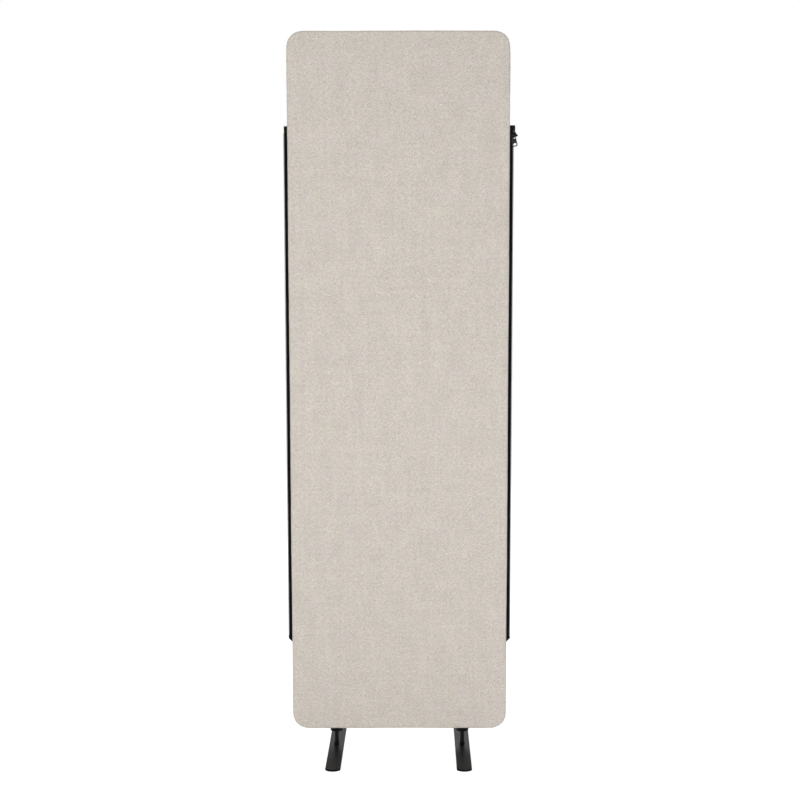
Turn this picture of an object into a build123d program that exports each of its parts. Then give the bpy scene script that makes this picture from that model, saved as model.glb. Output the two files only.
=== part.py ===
from build123d import *
from math import ceil, cos, floor, radians, sin
import os

# A freestanding fabric screen panel that zips to its neighbours, on two flat feet.
# All lengths are in millimetres. The origin is on the floor, midway between the feet.
# X runs along the panel to the right, Y goes away from the viewer and Z goes up.

# The panel as a whole
panel_width = 508
panel_height = 1630
panel_thickness = 25
floor_gap = 46
corner_radius = 36
edge_radius = 5
overrun = 5
side_names = {-1: "left", 1: "right"}

panel_side = panel_width / 2
panel_bottom = floor_gap
panel_top = panel_bottom + panel_height
panel_middle = (panel_bottom + panel_top) / 2

# Fabric covers, sewn together round the edge at the panel's middle plane
cover_thickness = 1.2

# Frame of square steel tube under the covers
tube_size = 16
tube_wall = 1.2
tube_corner = 1.5
frame_gap = 2
splice_length = 90
splice_clearance = 0.1
rivet_diameter = 4
rivet_spacing = 50
cross_rail_shares = (1 / 3, 2 / 3)

frame_inset = cover_thickness + frame_gap + tube_size / 2
stile_x = panel_side - frame_inset
rail_top = panel_top - frame_inset
rail_bottom = panel_bottom + frame_inset
bend_radius = corner_radius - frame_inset
cross_rails = [rail_bottom + share * (rail_top - rail_bottom) for share in cross_rail_shares]

# Acoustic core in the bays between the rails
core_clearance = 0.5

# Half zips: their ends, the tape, and the moulded teeth on its beaded edge
zip_set_back = 210
tape_thickness = 0.8
tape_reach = 6.2
tape_turn = 7
tape_top_cut = 3.4
tape_seam_slack = 0.05
bead_width = 1.8
tooth_reach = 1.8
tooth_neck = 1.5
tooth_head = 2.5
tooth_thickness = 3
tooth_pitch = 4.17
film_thickness = 0.25
film_length = 22
stop_reach = 3.4
stop_height = 5
stop_thickness = 3.4
zip_end_cut = 9

zip_top = panel_top - zip_set_back
zip_bottom = panel_bottom + zip_set_back
bead_x = panel_side + tape_reach
root_x = bead_x + bead_width
tip_x = root_x + tooth_reach
mesh_x = tip_x - tooth_reach / 2

# Retainer box at the top of the right half zip, and the pins that go into such a box
pin_width = 2.1
pin_thickness = 2.8
insertion_pin_length = 14
pin_tip_length = 3.2
pin_tip_width = 1
pin_drop = 0.5
box_height = 13
box_width = 7
box_wall = 1.2
box_corner = 0.8
box_roof = 1.2
retainer_pin_tail = 5
socket_clearance = 0.15

# Slider, which leans outward because only its panel-side channel holds a chain
slider_lean = 8
slider_length = 14
slider_straight = 2.5
slider_narrow_half = 3.7
slider_shoulder = 10.9
slider_shoulder_half = 8.5
slider_wide_half = 0.8
slider_plate = 1.3
slider_corner = 0.4
slider_edge = 0.4
chain_clearance = 0.3
end_clearance = 0.3

# Bail on the slider's front plate
bail_start = 2.2
bail_end = 11.2
bail_width = 2
bail_bar = 1.2
bail_opening = 2.3
bail_round = 1

# Pull tab
pull_length = 25.6
pull_thickness = 1.7
pull_head_half = 3.7
pull_shoulder = 5.3
pull_shoulder_slope = 0.7
pull_shoulder_half = 5
pull_waist_half = 5.9
pull_eye_half = 2.8
pull_eye_length = 7.7
pull_hole_width = 8.2
pull_hole_height = 5.2
pull_rim = 2.5
pull_edge = 0.3
pull_side_play = 1.7
pull_pivot_clearance = 0.3

# Feet: socket in the lower rail, post, plate, screw and pads
foot_set_in = 103.5
socket_flange_diameter = 30
socket_flange_height = 8
socket_flange_rim = 6.2
socket_flange_neck = 2.2
socket_sleeve_diameter = 14
socket_seat = 4
post_diameter = 12
post_chamfer = 0.6
stud_diameter = 8
stud_spare = 1
turning_clearance = 0.05
hole_clearance = 0.1
plate_width = 35
plate_length = 336
plate_thickness = 4.3
plate_bulge = 9
plate_corner = 2.5
plate_edge = 1
pad_thickness = 0.5
pad_inset = 3
pad_length = 40
screw_diameter = 5
screw_head_diameter = 10
screw_length = 16
screw_key = 3
screw_key_depth = 2

foot_x = panel_side - foot_set_in
plate_bottom = pad_thickness
plate_top = plate_bottom + plate_thickness
flange_bottom = panel_bottom - socket_flange_height
sleeve_top = rail_bottom + tube_size / 2

os.makedirs("parts", exist_ok=True)
panel_plane = Plane(origin=(0, 0, panel_middle), x_dir=(1, 0, 0), z_dir=(0, -1, 0))


def save(block, label):
    """Labels a finished piece and writes it as its own file."""
    block.part.label = label
    export_step(block.part, f"parts/{label}.step")


def panel_form(inset):
    """The panel's pillow-edged form, drawn in by inset on every side."""
    with BuildPart() as form:
        with BuildSketch(panel_plane):
            RectangleRounded(panel_width - 2 * inset, panel_height - 2 * inset, corner_radius - inset)
        extrude(amount=panel_thickness / 2 - inset, both=True)
        face_edges = form.faces().filter_by(Axis.Y).edges()
        fillet(face_edges, edge_radius - inset)
    return form.part


def socket_holes(radius):
    """Two upright cylinders where the foot sockets pass through the cover and the lower rail."""
    with BuildPart() as holes:
        with BuildSketch(Plane.XY.offset(panel_bottom - overrun)):
            with Locations((-foot_x, 0), (foot_x, 0)):
                Circle(radius)
        extrude(amount=sleeve_top - panel_bottom + 2 * overrun)
    return holes.part


def tube_section(plane, size, wall):
    """Sketch of a square tube's wall on a plane."""
    with BuildSketch(plane) as section:
        RectangleRounded(size, size, tube_corner)
        Rectangle(size - 2 * wall, size - 2 * wall, mode=Mode.SUBTRACT)
    return section.sketch


def covers():
    """Front and back fabric covers, open at the seam, with room in the seam for the zip tapes."""
    outer = panel_form(0)
    inner = panel_form(cover_thickness)
    seam_gap = tape_thickness + 2 * tape_seam_slack
    seam_depth = 2 * (cover_thickness + tape_thickness)
    sleeve_holes = socket_holes(socket_sleeve_diameter / 2 + hole_clearance)
    for label, keep in (("front_cover", Keep.TOP), ("back_cover", Keep.BOTTOM)):
        with BuildPart() as cover:
            add(outer)
            add(inner, mode=Mode.SUBTRACT)
            split(bisect_by=Plane.XZ, keep=keep)
            with Locations((-panel_side, 0, panel_middle), (panel_side, 0, panel_middle)):
                Box(seam_depth, seam_gap, zip_top - zip_bottom, mode=Mode.SUBTRACT)
            add(sleeve_holes, mode=Mode.SUBTRACT)
        save(cover, label)


def foam_sheets():
    """Foam sheets that pad the frame's two faces and round the panel's edge."""
    inner = panel_form(cover_thickness)
    for label, keep, face in (("front_foam", Keep.TOP, 1), ("back_foam", Keep.BOTTOM, -1)):
        with BuildPart() as foam:
            add(inner)
            split(bisect_by=Plane.XZ.offset(face * tube_size / 2), keep=keep)
        save(foam, label)


def rivet_heights():
    """Heights of the rivets, one above and one below the joint between the two bows."""
    return (panel_middle - rivet_spacing / 2, panel_middle + rivet_spacing / 2)


def rivet_cylinders(radius, length):
    """Rivets, or the holes for them, through both stiles."""
    places = [(x, z - panel_middle) for x in (-stile_x, stile_x) for z in rivet_heights()]
    with BuildPart() as rivets:
        with BuildSketch(panel_plane):
            with Locations(*places):
                Circle(radius)
        extrude(amount=length / 2, both=True)
    return rivets


def frame():
    """Two bent bows, joined at mid height by riveted splices, and two cross rails."""
    rivet_holes = rivet_cylinders(rivet_diameter / 2, tube_size + overrun)
    sleeve_holes = socket_holes(socket_sleeve_diameter / 2 + hole_clearance)
    for label, rail_z in (("frame_top_bow", rail_top), ("frame_bottom_bow", rail_bottom)):
        with BuildPart() as bow:
            with BuildLine(Plane.XZ) as path:
                FilletPolyline(
                    (-stile_x, panel_middle),
                    (-stile_x, rail_z),
                    (stile_x, rail_z),
                    (stile_x, panel_middle),
                    radius=bend_radius,
                )
            start = Plane(origin=(-stile_x, 0, panel_middle), x_dir=(1, 0, 0), z_dir=path.line % 0)
            sweep(sections=tube_section(start, tube_size, tube_wall), path=path.line)
            add(rivet_holes.part, mode=Mode.SUBTRACT)
            add(sleeve_holes, mode=Mode.SUBTRACT)
        save(bow, label)
    splice_size = tube_size - 2 * tube_wall - 2 * splice_clearance
    for side, name in side_names.items():
        with BuildPart() as splice:
            with Locations((side * stile_x, 0, panel_middle)):
                Box(splice_size, splice_size, splice_length)
            add(rivet_holes.part, mode=Mode.SUBTRACT)
        save(splice, f"frame_splice_{name}")
    save(rivet_cylinders(rivet_diameter / 2, tube_size), "splice_rivets")
    rail_length = 2 * stile_x - tube_size
    for label, rail_z in zip(("cross_rail_lower", "cross_rail_upper"), cross_rails):
        with BuildPart() as rail:
            end = Plane(origin=(-rail_length / 2, 0, rail_z), x_dir=(0, 1, 0), z_dir=(1, 0, 0))
            extrude(tube_section(end, tube_size, tube_wall), amount=rail_length)
        save(rail, label)


def cores():
    """Acoustic core slabs that fill the bays between the rails."""
    half_tube = tube_size / 2
    width = 2 * (stile_x - half_tube - core_clearance)
    levels = [rail_bottom, *cross_rails, rail_top]
    outer_corner = bend_radius - half_tube
    for index, label in enumerate(("core_lower", "core_middle", "core_upper")):
        low = levels[index] + half_tube + core_clearance
        high = levels[index + 1] - half_tube - core_clearance
        with BuildPart() as core:
            with BuildSketch(Plane(origin=(0, 0, (low + high) / 2), x_dir=(1, 0, 0), z_dir=(0, -1, 0))):
                Rectangle(width, high - low)
            extrude(amount=half_tube, both=True)
            upright = core.edges().filter_by(Axis.Y)
            if label == "core_lower":
                fillet(upright.group_by(Axis.Z)[0], outer_corner)
            if label == "core_upper":
                fillet(upright.group_by(Axis.Z)[-1], outer_corner)
        save(core, label)


def zip_outline(points):
    """Sketch on the zip's middle plane of a closed outline given as (x, z) points."""
    with BuildSketch(Plane.XZ) as outline:
        with BuildLine():
            Polyline(*points, close=True)
        make_face()
    return outline.sketch


def end_line(x):
    """Height of the slanted cut at the bottom end of a half zip, at a distance x from the middle."""
    return zip_bottom + zip_end_cut * (x - panel_side) / (tip_x - panel_side)


def tape_points(inner_x, outer_x, low):
    """Outline of a tape or its film on the right side, with the top corner cut back."""
    cut_share = (outer_x - panel_side) / tape_reach
    return [
        (inner_x, low),
        (panel_side, low),
        (outer_x, max(low, end_line(outer_x))),
        (outer_x, zip_top - tape_top_cut * cut_share),
        (panel_side, zip_top),
        (inner_x, zip_top),
    ]


def zip_tapes():
    """Tapes sewn in the covers' seam and turned in behind it, with film at the pin end."""
    wall_x = panel_side - cover_thickness
    leg_x = wall_x - tape_thickness
    for side, name in side_names.items():
        with BuildPart() as tape:
            points = tape_points(leg_x, bead_x, zip_bottom)
            extrude(zip_outline(points), amount=tape_thickness / 2, both=True)
            with Locations(((leg_x + wall_x) / 2, tape_turn / 2, panel_middle)):
                Box(tape_thickness, tape_turn, zip_top - zip_bottom)
            if side < 0:
                mirror(about=Plane.YZ, mode=Mode.REPLACE)
        save(tape, f"zip_tape_{name}")
        with BuildPart() as film:
            points = tape_points(panel_side, bead_x, zip_top - film_length)[1:5]
            for face in (-1, 1):
                plane_y = face * (tape_thickness + film_thickness) / 2
                with BuildSketch(Plane.XZ.offset(plane_y)):
                    with BuildLine():
                        Polyline(*points, close=True)
                    make_face()
                extrude(amount=film_thickness / 2, both=True)
            if side < 0:
                mirror(about=Plane.YZ, mode=Mode.REPLACE)
        save(film, f"zip_film_{name}")


def tooth_heights(row_top, row_bottom, stagger_share):
    """Heights of the teeth's middles from the top down, on the pitch that a joined zip keeps."""
    first = ceil((zip_top - row_top + tooth_head / 2) / tooth_pitch - stagger_share)
    last = floor((zip_top - row_bottom - tooth_head / 2) / tooth_pitch - stagger_share)
    return [zip_top - (number + stagger_share) * tooth_pitch for number in range(first, last + 1)]


def tooth_row_points(row_top, row_bottom, stagger_share):
    """Outline of a tooth row: dovetail teeth along the beaded edge that carries them."""
    points = [(bead_x, row_bottom), (bead_x, row_top), (root_x, row_top)]
    for middle in tooth_heights(row_top, row_bottom, stagger_share):
        points += [
            (root_x, middle + tooth_neck / 2),
            (tip_x, middle + tooth_head / 2),
            (tip_x, middle - tooth_head / 2),
            (root_x, middle - tooth_neck / 2),
        ]
    return points + [(root_x, row_bottom)]


stop_top = end_line(bead_x + stop_reach) + stop_height
left_row_top = zip_top - insertion_pin_length
right_row_top = zip_top - box_height - retainer_pin_tail


def tooth_rows():
    """The two tooth rows, half a pitch apart so that neighbouring panels' rows mesh."""
    rows = ((-1, left_row_top, 1 / 2), (1, right_row_top, 0))
    for side, row_top, stagger_share in rows:
        with BuildPart() as row:
            points = tooth_row_points(row_top, stop_top, stagger_share)
            extrude(zip_outline(points), amount=tooth_thickness / 2, both=True)
            if side < 0:
                mirror(about=Plane.YZ, mode=Mode.REPLACE)
        save(row, f"zip_teeth_{side_names[side]}")


def end_stops():
    """Moulded stop under each tooth row, cut on the slant of the zip's end."""
    outer_x = bead_x + stop_reach
    points = [
        (bead_x, end_line(bead_x)),
        (outer_x, end_line(outer_x)),
        (outer_x, stop_top),
        (bead_x, stop_top),
    ]
    for side, name in side_names.items():
        with BuildPart() as stop:
            extrude(zip_outline(points), amount=stop_thickness / 2, both=True)
            if side < 0:
                mirror(about=Plane.YZ, mode=Mode.REPLACE)
        save(stop, f"zip_stop_{name}")


def pins_and_box():
    """Insertion pin on the left, retainer pin and box on the right."""
    pin_top = zip_top - pin_drop
    pin_outer = bead_x + pin_width
    points = [
        (bead_x, left_row_top),
        (pin_outer, left_row_top),
        (pin_outer, pin_top - pin_tip_length / 2),
        (pin_outer - (pin_width - pin_tip_width) / 2, pin_top),
        (pin_outer - (pin_width + pin_tip_width) / 2, pin_top),
        (bead_x, pin_top - pin_tip_length),
    ]
    with BuildPart() as insertion_pin:
        extrude(zip_outline(points), amount=pin_thickness / 2, both=True)
        mirror(about=Plane.YZ, mode=Mode.REPLACE)
    save(insertion_pin, "insertion_pin")

    retainer_top = zip_top - box_roof
    retainer_length = retainer_top - right_row_top
    with BuildPart() as retainer_pin:
        with Locations((bead_x + pin_width / 2, 0, retainer_top - retainer_length / 2)):
            Box(pin_width, pin_thickness, retainer_length)
    save(retainer_pin, "retainer_pin")

    pocket_height = box_height - box_roof + overrun
    pocket_middle = retainer_top - pocket_height / 2
    socket_middle = 2 * mesh_x - bead_x - pin_width / 2
    socket_width = pin_width + 2 * socket_clearance
    slot_gap = tape_thickness + 2 * (film_thickness + socket_clearance)
    with BuildPart() as retainer_box:
        with Locations((mesh_x, 0, zip_top - box_height / 2)):
            Box(box_width, pin_thickness + 2 * box_wall, box_height)
        fillet(retainer_box.edges().filter_by(Axis.Z), box_corner)
        with Locations((bead_x + pin_width / 2, 0, pocket_middle)):
            Box(pin_width, pin_thickness, pocket_height, mode=Mode.SUBTRACT)
        with Locations((socket_middle, 0, pocket_middle)):
            Box(socket_width, pin_thickness + 2 * socket_clearance, pocket_height, mode=Mode.SUBTRACT)
        with Locations((mesh_x - box_width / 2, 0, zip_top - box_height / 2)):
            Box(2 * (bead_x - mesh_x + box_width / 2), slot_gap, box_height, mode=Mode.SUBTRACT)
        with Locations((mesh_x + box_width / 2, 0, pocket_middle)):
            Box(box_width / 2, slot_gap, pocket_height, mode=Mode.SUBTRACT)
    save(retainer_box, "retainer_box")


# The slider's own axes: across it, and down along it from the narrow end
lean = radians(slider_lean)
across = (cos(lean), 0, sin(lean))
down = (sin(lean), 0, -cos(lean))
slider_z = zip_top - box_height - end_clearance - slider_narrow_half * sin(lean)
slider_plane = Plane(origin=(mesh_x, 0, slider_z), x_dir=across, z_dir=(0, -1, 0))
cavity = tooth_thickness + 2 * chain_clearance
slider_face = cavity / 2 + slider_plate

# The pull's pivot, in the lower end of the bail
pull_radius = pull_thickness / 2
pivot_down = bail_end - bail_bar - pull_pivot_clearance - pull_radius
pivot_forward = slider_face + bail_opening / 2
pivot = (
    mesh_x + pivot_down * sin(lean) - pull_side_play * cos(lean),
    -pivot_forward,
    slider_z - pivot_down * cos(lean) - pull_side_play * sin(lean),
)


def slider():
    """Slider body: two plates, the flanges round both channels, and the wedge between them."""
    slot_gap = tape_thickness + 2 * (film_thickness + chain_clearance)
    channel_low = bead_x - chain_clearance
    channel_high = tip_x + chain_clearance
    tall = 3 * slider_length
    with BuildPart() as channels:
        with Locations(((channel_low + channel_high) / 2, 0, slider_z - slider_length / 2)):
            Box(channel_high - channel_low, cavity, tall)
        with Locations((channel_low - slider_length / 2, 0, slider_z - slider_length / 2)):
            Box(slider_length, slot_gap, tall)
        mirror(about=Plane(origin=slider_plane.origin, z_dir=across))

    outline = [
        (slider_narrow_half, 0),
        (slider_narrow_half, -slider_straight),
        (slider_shoulder_half, -slider_shoulder),
        (slider_wide_half, -slider_length),
    ]
    mirrored_outline = [(-u, w) for u, w in reversed(outline)]
    with BuildPart() as slider_body:
        with BuildSketch(slider_plane):
            with BuildLine():
                Polyline(*outline, *mirrored_outline, close=True)
            make_face()
        extrude(amount=slider_face, both=True)
        fillet(slider_body.edges().filter_by(Axis.Y), slider_corner)
        fillet(slider_body.faces().filter_by(Axis.Y).edges(), slider_edge)
        add(channels.part, mode=Mode.SUBTRACT)
    save(slider_body, "slider_body")

    bail_plane = Plane(origin=slider_plane.origin, x_dir=(0, -1, 0), z_dir=across)
    bail_top = slider_face + bail_opening + bail_bar
    with BuildPart() as slider_bail:
        with BuildSketch(bail_plane):
            with BuildLine():
                FilletPolyline(
                    (slider_face, bail_start),
                    (bail_top, bail_start),
                    (bail_top, bail_end),
                    (slider_face, bail_end),
                    radius=bail_round + bail_bar,
                )
                Line((slider_face, bail_end), (slider_face, bail_start))
            make_face()
            with BuildLine():
                FilletPolyline(
                    (slider_face, bail_start + bail_bar),
                    (slider_face + bail_opening, bail_start + bail_bar),
                    (slider_face + bail_opening, bail_end - bail_bar),
                    (slider_face, bail_end - bail_bar),
                    radius=bail_round,
                )
                Line((slider_face, bail_end - bail_bar), (slider_face, bail_start + bail_bar))
            make_face(mode=Mode.SUBTRACT)
        extrude(amount=bail_width / 2, both=True)
    save(slider_bail, "slider_bail")


def pull():
    """Pull tab: an eye that hooks the bail, a shouldered body and a ring round an oval hole."""
    pull_plane = Plane(origin=pivot, x_dir=across, z_dir=(0, -1, 0))
    ring_width = pull_hole_width + 2 * pull_rim
    ring_height = pull_hole_height + 2 * pull_rim
    ring_middle = pull_length - ring_height / 2
    hole_round = pull_hole_height / 2 - pull_edge
    outline = [
        (pull_head_half, 0),
        (pull_head_half, -pull_shoulder),
        (pull_shoulder_half, -pull_shoulder - pull_shoulder_slope),
        (pull_waist_half, -ring_middle),
    ]
    mirrored_outline = [(-u, w) for u, w in reversed(outline)]
    with BuildPart() as pull_tab:
        with BuildSketch(pull_plane):
            with BuildLine():
                Polyline(*outline, *mirrored_outline, close=True)
            make_face()
            with Locations((0, -ring_middle)):
                RectangleRounded(ring_width, ring_height, hole_round + pull_rim)
                RectangleRounded(pull_hole_width, pull_hole_height, hole_round, mode=Mode.SUBTRACT)
        extrude(amount=pull_radius, both=True)
        eye_middle = (pull_eye_length - pull_radius) / 2
        with BuildSketch(pull_plane):
            with Locations((0, -eye_middle)):
                Rectangle(2 * pull_eye_half, pull_eye_length + pull_radius)
        extrude(amount=pull_thickness, both=True, mode=Mode.SUBTRACT)
        with BuildSketch(Plane(origin=pivot, z_dir=across)):
            Circle(pull_radius)
        extrude(amount=pull_head_half, both=True)
    save(pull_tab, "pull_tab")


def foot_axis(side):
    """Upright axis that a foot turns about."""
    return Axis((side * foot_x, 0, 0), (0, 0, 1))


def foot_section(side):
    """Plane through a foot's axis, for the outlines that are turned about it."""
    return Plane(origin=(side * foot_x, 0, 0), x_dir=(1, 0, 0), z_dir=(0, -1, 0))


def foot_sockets():
    """Turned sockets through the lower rail, each with a dished flange under the panel."""
    flange_radius = socket_flange_diameter / 2
    sleeve_radius = socket_sleeve_diameter / 2
    seat_radius = post_diameter / 2 + turning_clearance
    bore_radius = stud_diameter / 2 + turning_clearance
    neck_radius = post_diameter / 2 + socket_flange_neck
    rim_bottom = panel_bottom - socket_flange_rim
    seat_top = flange_bottom + socket_seat
    dish_rise = (rim_bottom - flange_bottom) / 4
    dish_middle = (
        (flange_radius + neck_radius) / 2 + dish_rise,
        (rim_bottom + flange_bottom) / 2 - dish_rise,
    )
    for side, name in side_names.items():
        with BuildPart() as socket:
            with BuildSketch(foot_section(side)):
                with BuildLine():
                    Polyline(
                        (neck_radius, flange_bottom),
                        (seat_radius, flange_bottom),
                        (seat_radius, seat_top),
                        (bore_radius, seat_top),
                        (bore_radius, sleeve_top),
                        (sleeve_radius, sleeve_top),
                        (sleeve_radius, panel_bottom),
                        (flange_radius, panel_bottom),
                        (flange_radius, rim_bottom),
                    )
                    ThreePointArc((flange_radius, rim_bottom), dish_middle, (neck_radius, flange_bottom))
                make_face()
            revolve(axis=foot_axis(side))
        save(socket, f"foot_socket_{name}")


def plate_outline(inset):
    """Sketch of a foot plate seen from above, drawn in by inset, with its two bulged ends."""
    half_width = plate_width / 2 - inset
    end = plate_length / 2 - inset
    shoulder = end - plate_bulge
    with BuildSketch() as outline:
        with BuildLine():
            Line((-half_width, -shoulder), (-half_width, shoulder))
            ThreePointArc((-half_width, shoulder), (0, end), (half_width, shoulder))
            Line((half_width, shoulder), (half_width, -shoulder))
            ThreePointArc((half_width, -shoulder), (0, -end), (-half_width, -shoulder))
        make_face()
        fillet(outline.vertices(), plate_corner)
    return outline.sketch


def feet():
    """Each foot: a post that turns in its socket, the plate under it, its screw and its pads."""
    post_radius = post_diameter / 2
    stud_radius = stud_diameter / 2
    screw_radius = screw_diameter / 2
    head_radius = screw_head_diameter / 2
    seat_top = flange_bottom + socket_seat
    stud_top = sleeve_top - stud_spare
    bore_top = plate_bottom + screw_length + stud_spare
    cone_top = plate_bottom + head_radius - screw_radius
    for side, name in side_names.items():
        axis = foot_axis(side)
        section = foot_section(side)
        with BuildPart() as post:
            with BuildSketch(section):
                with BuildLine():
                    Polyline(
                        (screw_radius, plate_top),
                        (post_radius, plate_top),
                        (post_radius, seat_top - post_chamfer),
                        (post_radius - post_chamfer, seat_top),
                        (stud_radius, seat_top),
                        (stud_radius, stud_top - post_chamfer),
                        (stud_radius - post_chamfer, stud_top),
                        (0, stud_top),
                        (0, bore_top),
                        (screw_radius, bore_top),
                        close=True,
                    )
                make_face()
            revolve(axis=axis)
        save(post, f"foot_post_{name}")

        with BuildPart() as screw:
            with BuildSketch(section):
                with BuildLine():
                    Polyline(
                        (0, plate_bottom),
                        (head_radius, plate_bottom),
                        (screw_radius, cone_top),
                        (screw_radius, plate_bottom + screw_length),
                        (0, plate_bottom + screw_length),
                        close=True,
                    )
                make_face()
            revolve(axis=axis)
            with BuildSketch(Plane(origin=(side * foot_x, 0, plate_bottom))):
                RegularPolygon(screw_key / 2, 6, major_radius=False)
            extrude(amount=screw_key_depth, mode=Mode.SUBTRACT)
        save(screw, f"foot_screw_{name}")

        with BuildPart() as plate:
            with BuildSketch(Plane(origin=(side * foot_x, 0, plate_bottom))):
                add(plate_outline(0))
            extrude(amount=plate_thickness)
            fillet(plate.faces().sort_by(Axis.Z)[-1].edges(), plate_edge)
            with Locations(Plane(origin=(side * foot_x, 0, plate_bottom), z_dir=(0, 0, -1))):
                CounterSinkHole(screw_radius + hole_clearance, head_radius)
        save(plate, f"foot_plate_{name}")

        with BuildPart() as pads:
            with BuildSketch(Plane(origin=(side * foot_x, 0, 0))):
                add(plate_outline(pad_inset))
                Rectangle(plate_width, plate_length - 2 * (pad_inset + pad_length), mode=Mode.SUBTRACT)
            extrude(amount=pad_thickness)
        save(pads, f"foot_pads_{name}")


covers()
foam_sheets()
frame()
cores()
zip_tapes()
tooth_rows()
end_stops()
pins_and_box()
slider()
pull()
foot_sockets()
feet()
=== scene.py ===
"""A freestanding fabric screen panel with half zips down its sides and two turning feet."""

import math

import bmesh
import bpy
from mathutils import Matrix, Vector, noise


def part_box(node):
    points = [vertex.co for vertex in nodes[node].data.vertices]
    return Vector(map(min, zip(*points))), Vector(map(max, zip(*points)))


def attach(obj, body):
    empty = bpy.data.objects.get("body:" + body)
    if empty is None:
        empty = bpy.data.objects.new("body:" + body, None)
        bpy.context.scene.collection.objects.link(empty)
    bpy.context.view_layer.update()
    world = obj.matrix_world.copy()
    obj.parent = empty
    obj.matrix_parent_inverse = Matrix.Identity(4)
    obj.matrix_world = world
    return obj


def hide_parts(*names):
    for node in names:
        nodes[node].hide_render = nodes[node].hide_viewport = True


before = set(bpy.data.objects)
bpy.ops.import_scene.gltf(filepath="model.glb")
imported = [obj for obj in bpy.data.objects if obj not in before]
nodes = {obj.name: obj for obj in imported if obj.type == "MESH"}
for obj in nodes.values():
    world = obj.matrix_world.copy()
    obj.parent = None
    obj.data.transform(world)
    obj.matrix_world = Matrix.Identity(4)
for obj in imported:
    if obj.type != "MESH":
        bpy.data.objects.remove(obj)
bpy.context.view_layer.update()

# Sizes, in metres. X runs to the right along the panel, Y to the back and Z up.
MM = 0.001

corner_radius = 36 * MM
edge_radius = 5 * MM
cloth_thickness = 1.2 * MM
foam_thickness = 3 * MM
tube_half = 8 * MM
tape_thickness = 0.8 * MM
tape_reach = 6.2 * MM
tooth_pitch = 4.17 * MM
tooth_head_height = 2.5 * MM
insertion_pin_length = 14 * MM
box_and_pin_length = 18 * MM

front_low, front_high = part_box("front_cover")
_, back_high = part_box("back_cover")
panel_half = front_high.x
panel_bottom = front_low.z
panel_top = front_high.z
panel_middle = (panel_top + panel_bottom) / 2
panel_half_height = (panel_top - panel_bottom) / 2
panel_half_depth = back_high.y
tape_low, tape_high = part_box("zip_tape_right")
zip_bottom = tape_low.z
zip_top = tape_high.z
bead_x = tape_high.x
row_low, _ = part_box("zip_teeth_right")
stop_top = row_low.z
side_names = {-1: "left", 1: "right"}


# Small helpers for meshes and pieces


def mesh_piece(name, vertices, faces, material, body, closed=True):
    """A smooth-shaded mesh object that rides on a body and takes its finish from a slot."""
    mesh = bpy.data.meshes.new(name)
    mesh.from_pydata(vertices, [], faces)
    if closed:
        form = bmesh.new()
        form.from_mesh(mesh)
        bmesh.ops.recalc_face_normals(form, faces=form.faces)
        form.to_mesh(mesh)
        form.free()
    mesh.update()
    mesh.shade_smooth()
    piece = bpy.data.objects.new(name, mesh)
    bpy.context.scene.collection.objects.link(piece)
    piece.data.materials.append(material)
    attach(piece, body)
    return piece


def add_modifier(piece, kind, **settings):
    """Adds a modifier of a kind with its settings."""
    modifier = piece.modifiers.new(kind.title(), kind)
    for key, value in settings.items():
        setattr(modifier, key, value)


def add_run(piece, count, pitch):
    """Repeats a piece downwards on a pitch."""
    add_modifier(
        piece,
        "ARRAY",
        count=count,
        use_relative_offset=False,
        use_constant_offset=True,
        constant_offset_displace=(0, 0, -pitch),
    )


def ring_faces(inner, outer):
    """Quads between two closed rings of vertices with the same count."""
    count = len(inner)
    return [
        (inner[index], outer[index], outer[(index + 1) % count], inner[(index + 1) % count])
        for index in range(count)
    ]


def loft(sections):
    """Vertices and faces of a closed form through sections that have the same number of points."""
    count = len(sections[0])
    vertices = [point for section in sections for point in section]
    faces = []
    for start in range(0, len(vertices) - count, count):
        ring = list(range(start, start + count))
        faces += ring_faces(ring, [index + count for index in ring])
    faces.append(tuple(range(count)))
    faces.append(tuple(range(len(vertices) - count, len(vertices))))
    return vertices, faces


def store_cloth_place(piece, places):
    """Keeps where each vertex lay on the flat cloth, as the UV map that the weave follows."""
    layer = piece.data.uv_layers.new(name="ClothPlace")
    for loop in piece.data.loops:
        layer.data[loop.index].uv = places[loop.vertex_index]


def bell(distance, width):
    """1 at no distance, falling smoothly to 0 over a few widths."""
    return math.exp(-((distance / width) ** 2))


def fading(distance, start, width):
    """1 up to a start, and a bell beyond it."""
    return bell(max(0.0, distance - start), width)


# Small helpers for materials

# Places of the Mix node's sockets, several of which have the same name
value_a, value_b, value_result = 2, 3, 0
colour_a, colour_b, colour_result = 6, 7, 2
bevel_samples = 6


def put(tree, kind, inputs=(), **settings):
    """Adds a node, sets it up and feeds its inputs, each with a value or another node's output."""
    node = tree.nodes.new(kind)
    for key, value in settings.items():
        setattr(node, key, value)
    for key, value in dict(inputs).items():
        if isinstance(value, bpy.types.NodeSocket):
            tree.links.new(value, node.inputs[key])
        else:
            node.inputs[key].default_value = value
    return node


def math_node(tree, operation, first, second=0.0, third=0.0):
    """Output of a Math node."""
    node = put(tree, "ShaderNodeMath", {0: first, 1: second, 2: third}, operation=operation)
    return node.outputs[0]


def mix_value(tree, share, first, second):
    """Output of a mix of two values, by share of the second."""
    inputs = {"Factor": share, value_a: first, value_b: second}
    return put(tree, "ShaderNodeMix", inputs, data_type="FLOAT").outputs[value_result]


def mix_colour(tree, share, first, second, blend="MIX"):
    """Output of a mix of two colours, by share of the second."""
    inputs = {"Factor": share, colour_a: first, colour_b: second}
    node = put(tree, "ShaderNodeMix", inputs, data_type="RGBA", blend_type=blend)
    return node.outputs[colour_result]


def tinted(tree, colour, tint):
    """A colour multiplied by a tint."""
    return mix_colour(tree, 1.0, colour, tint, "MULTIPLY")


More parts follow.
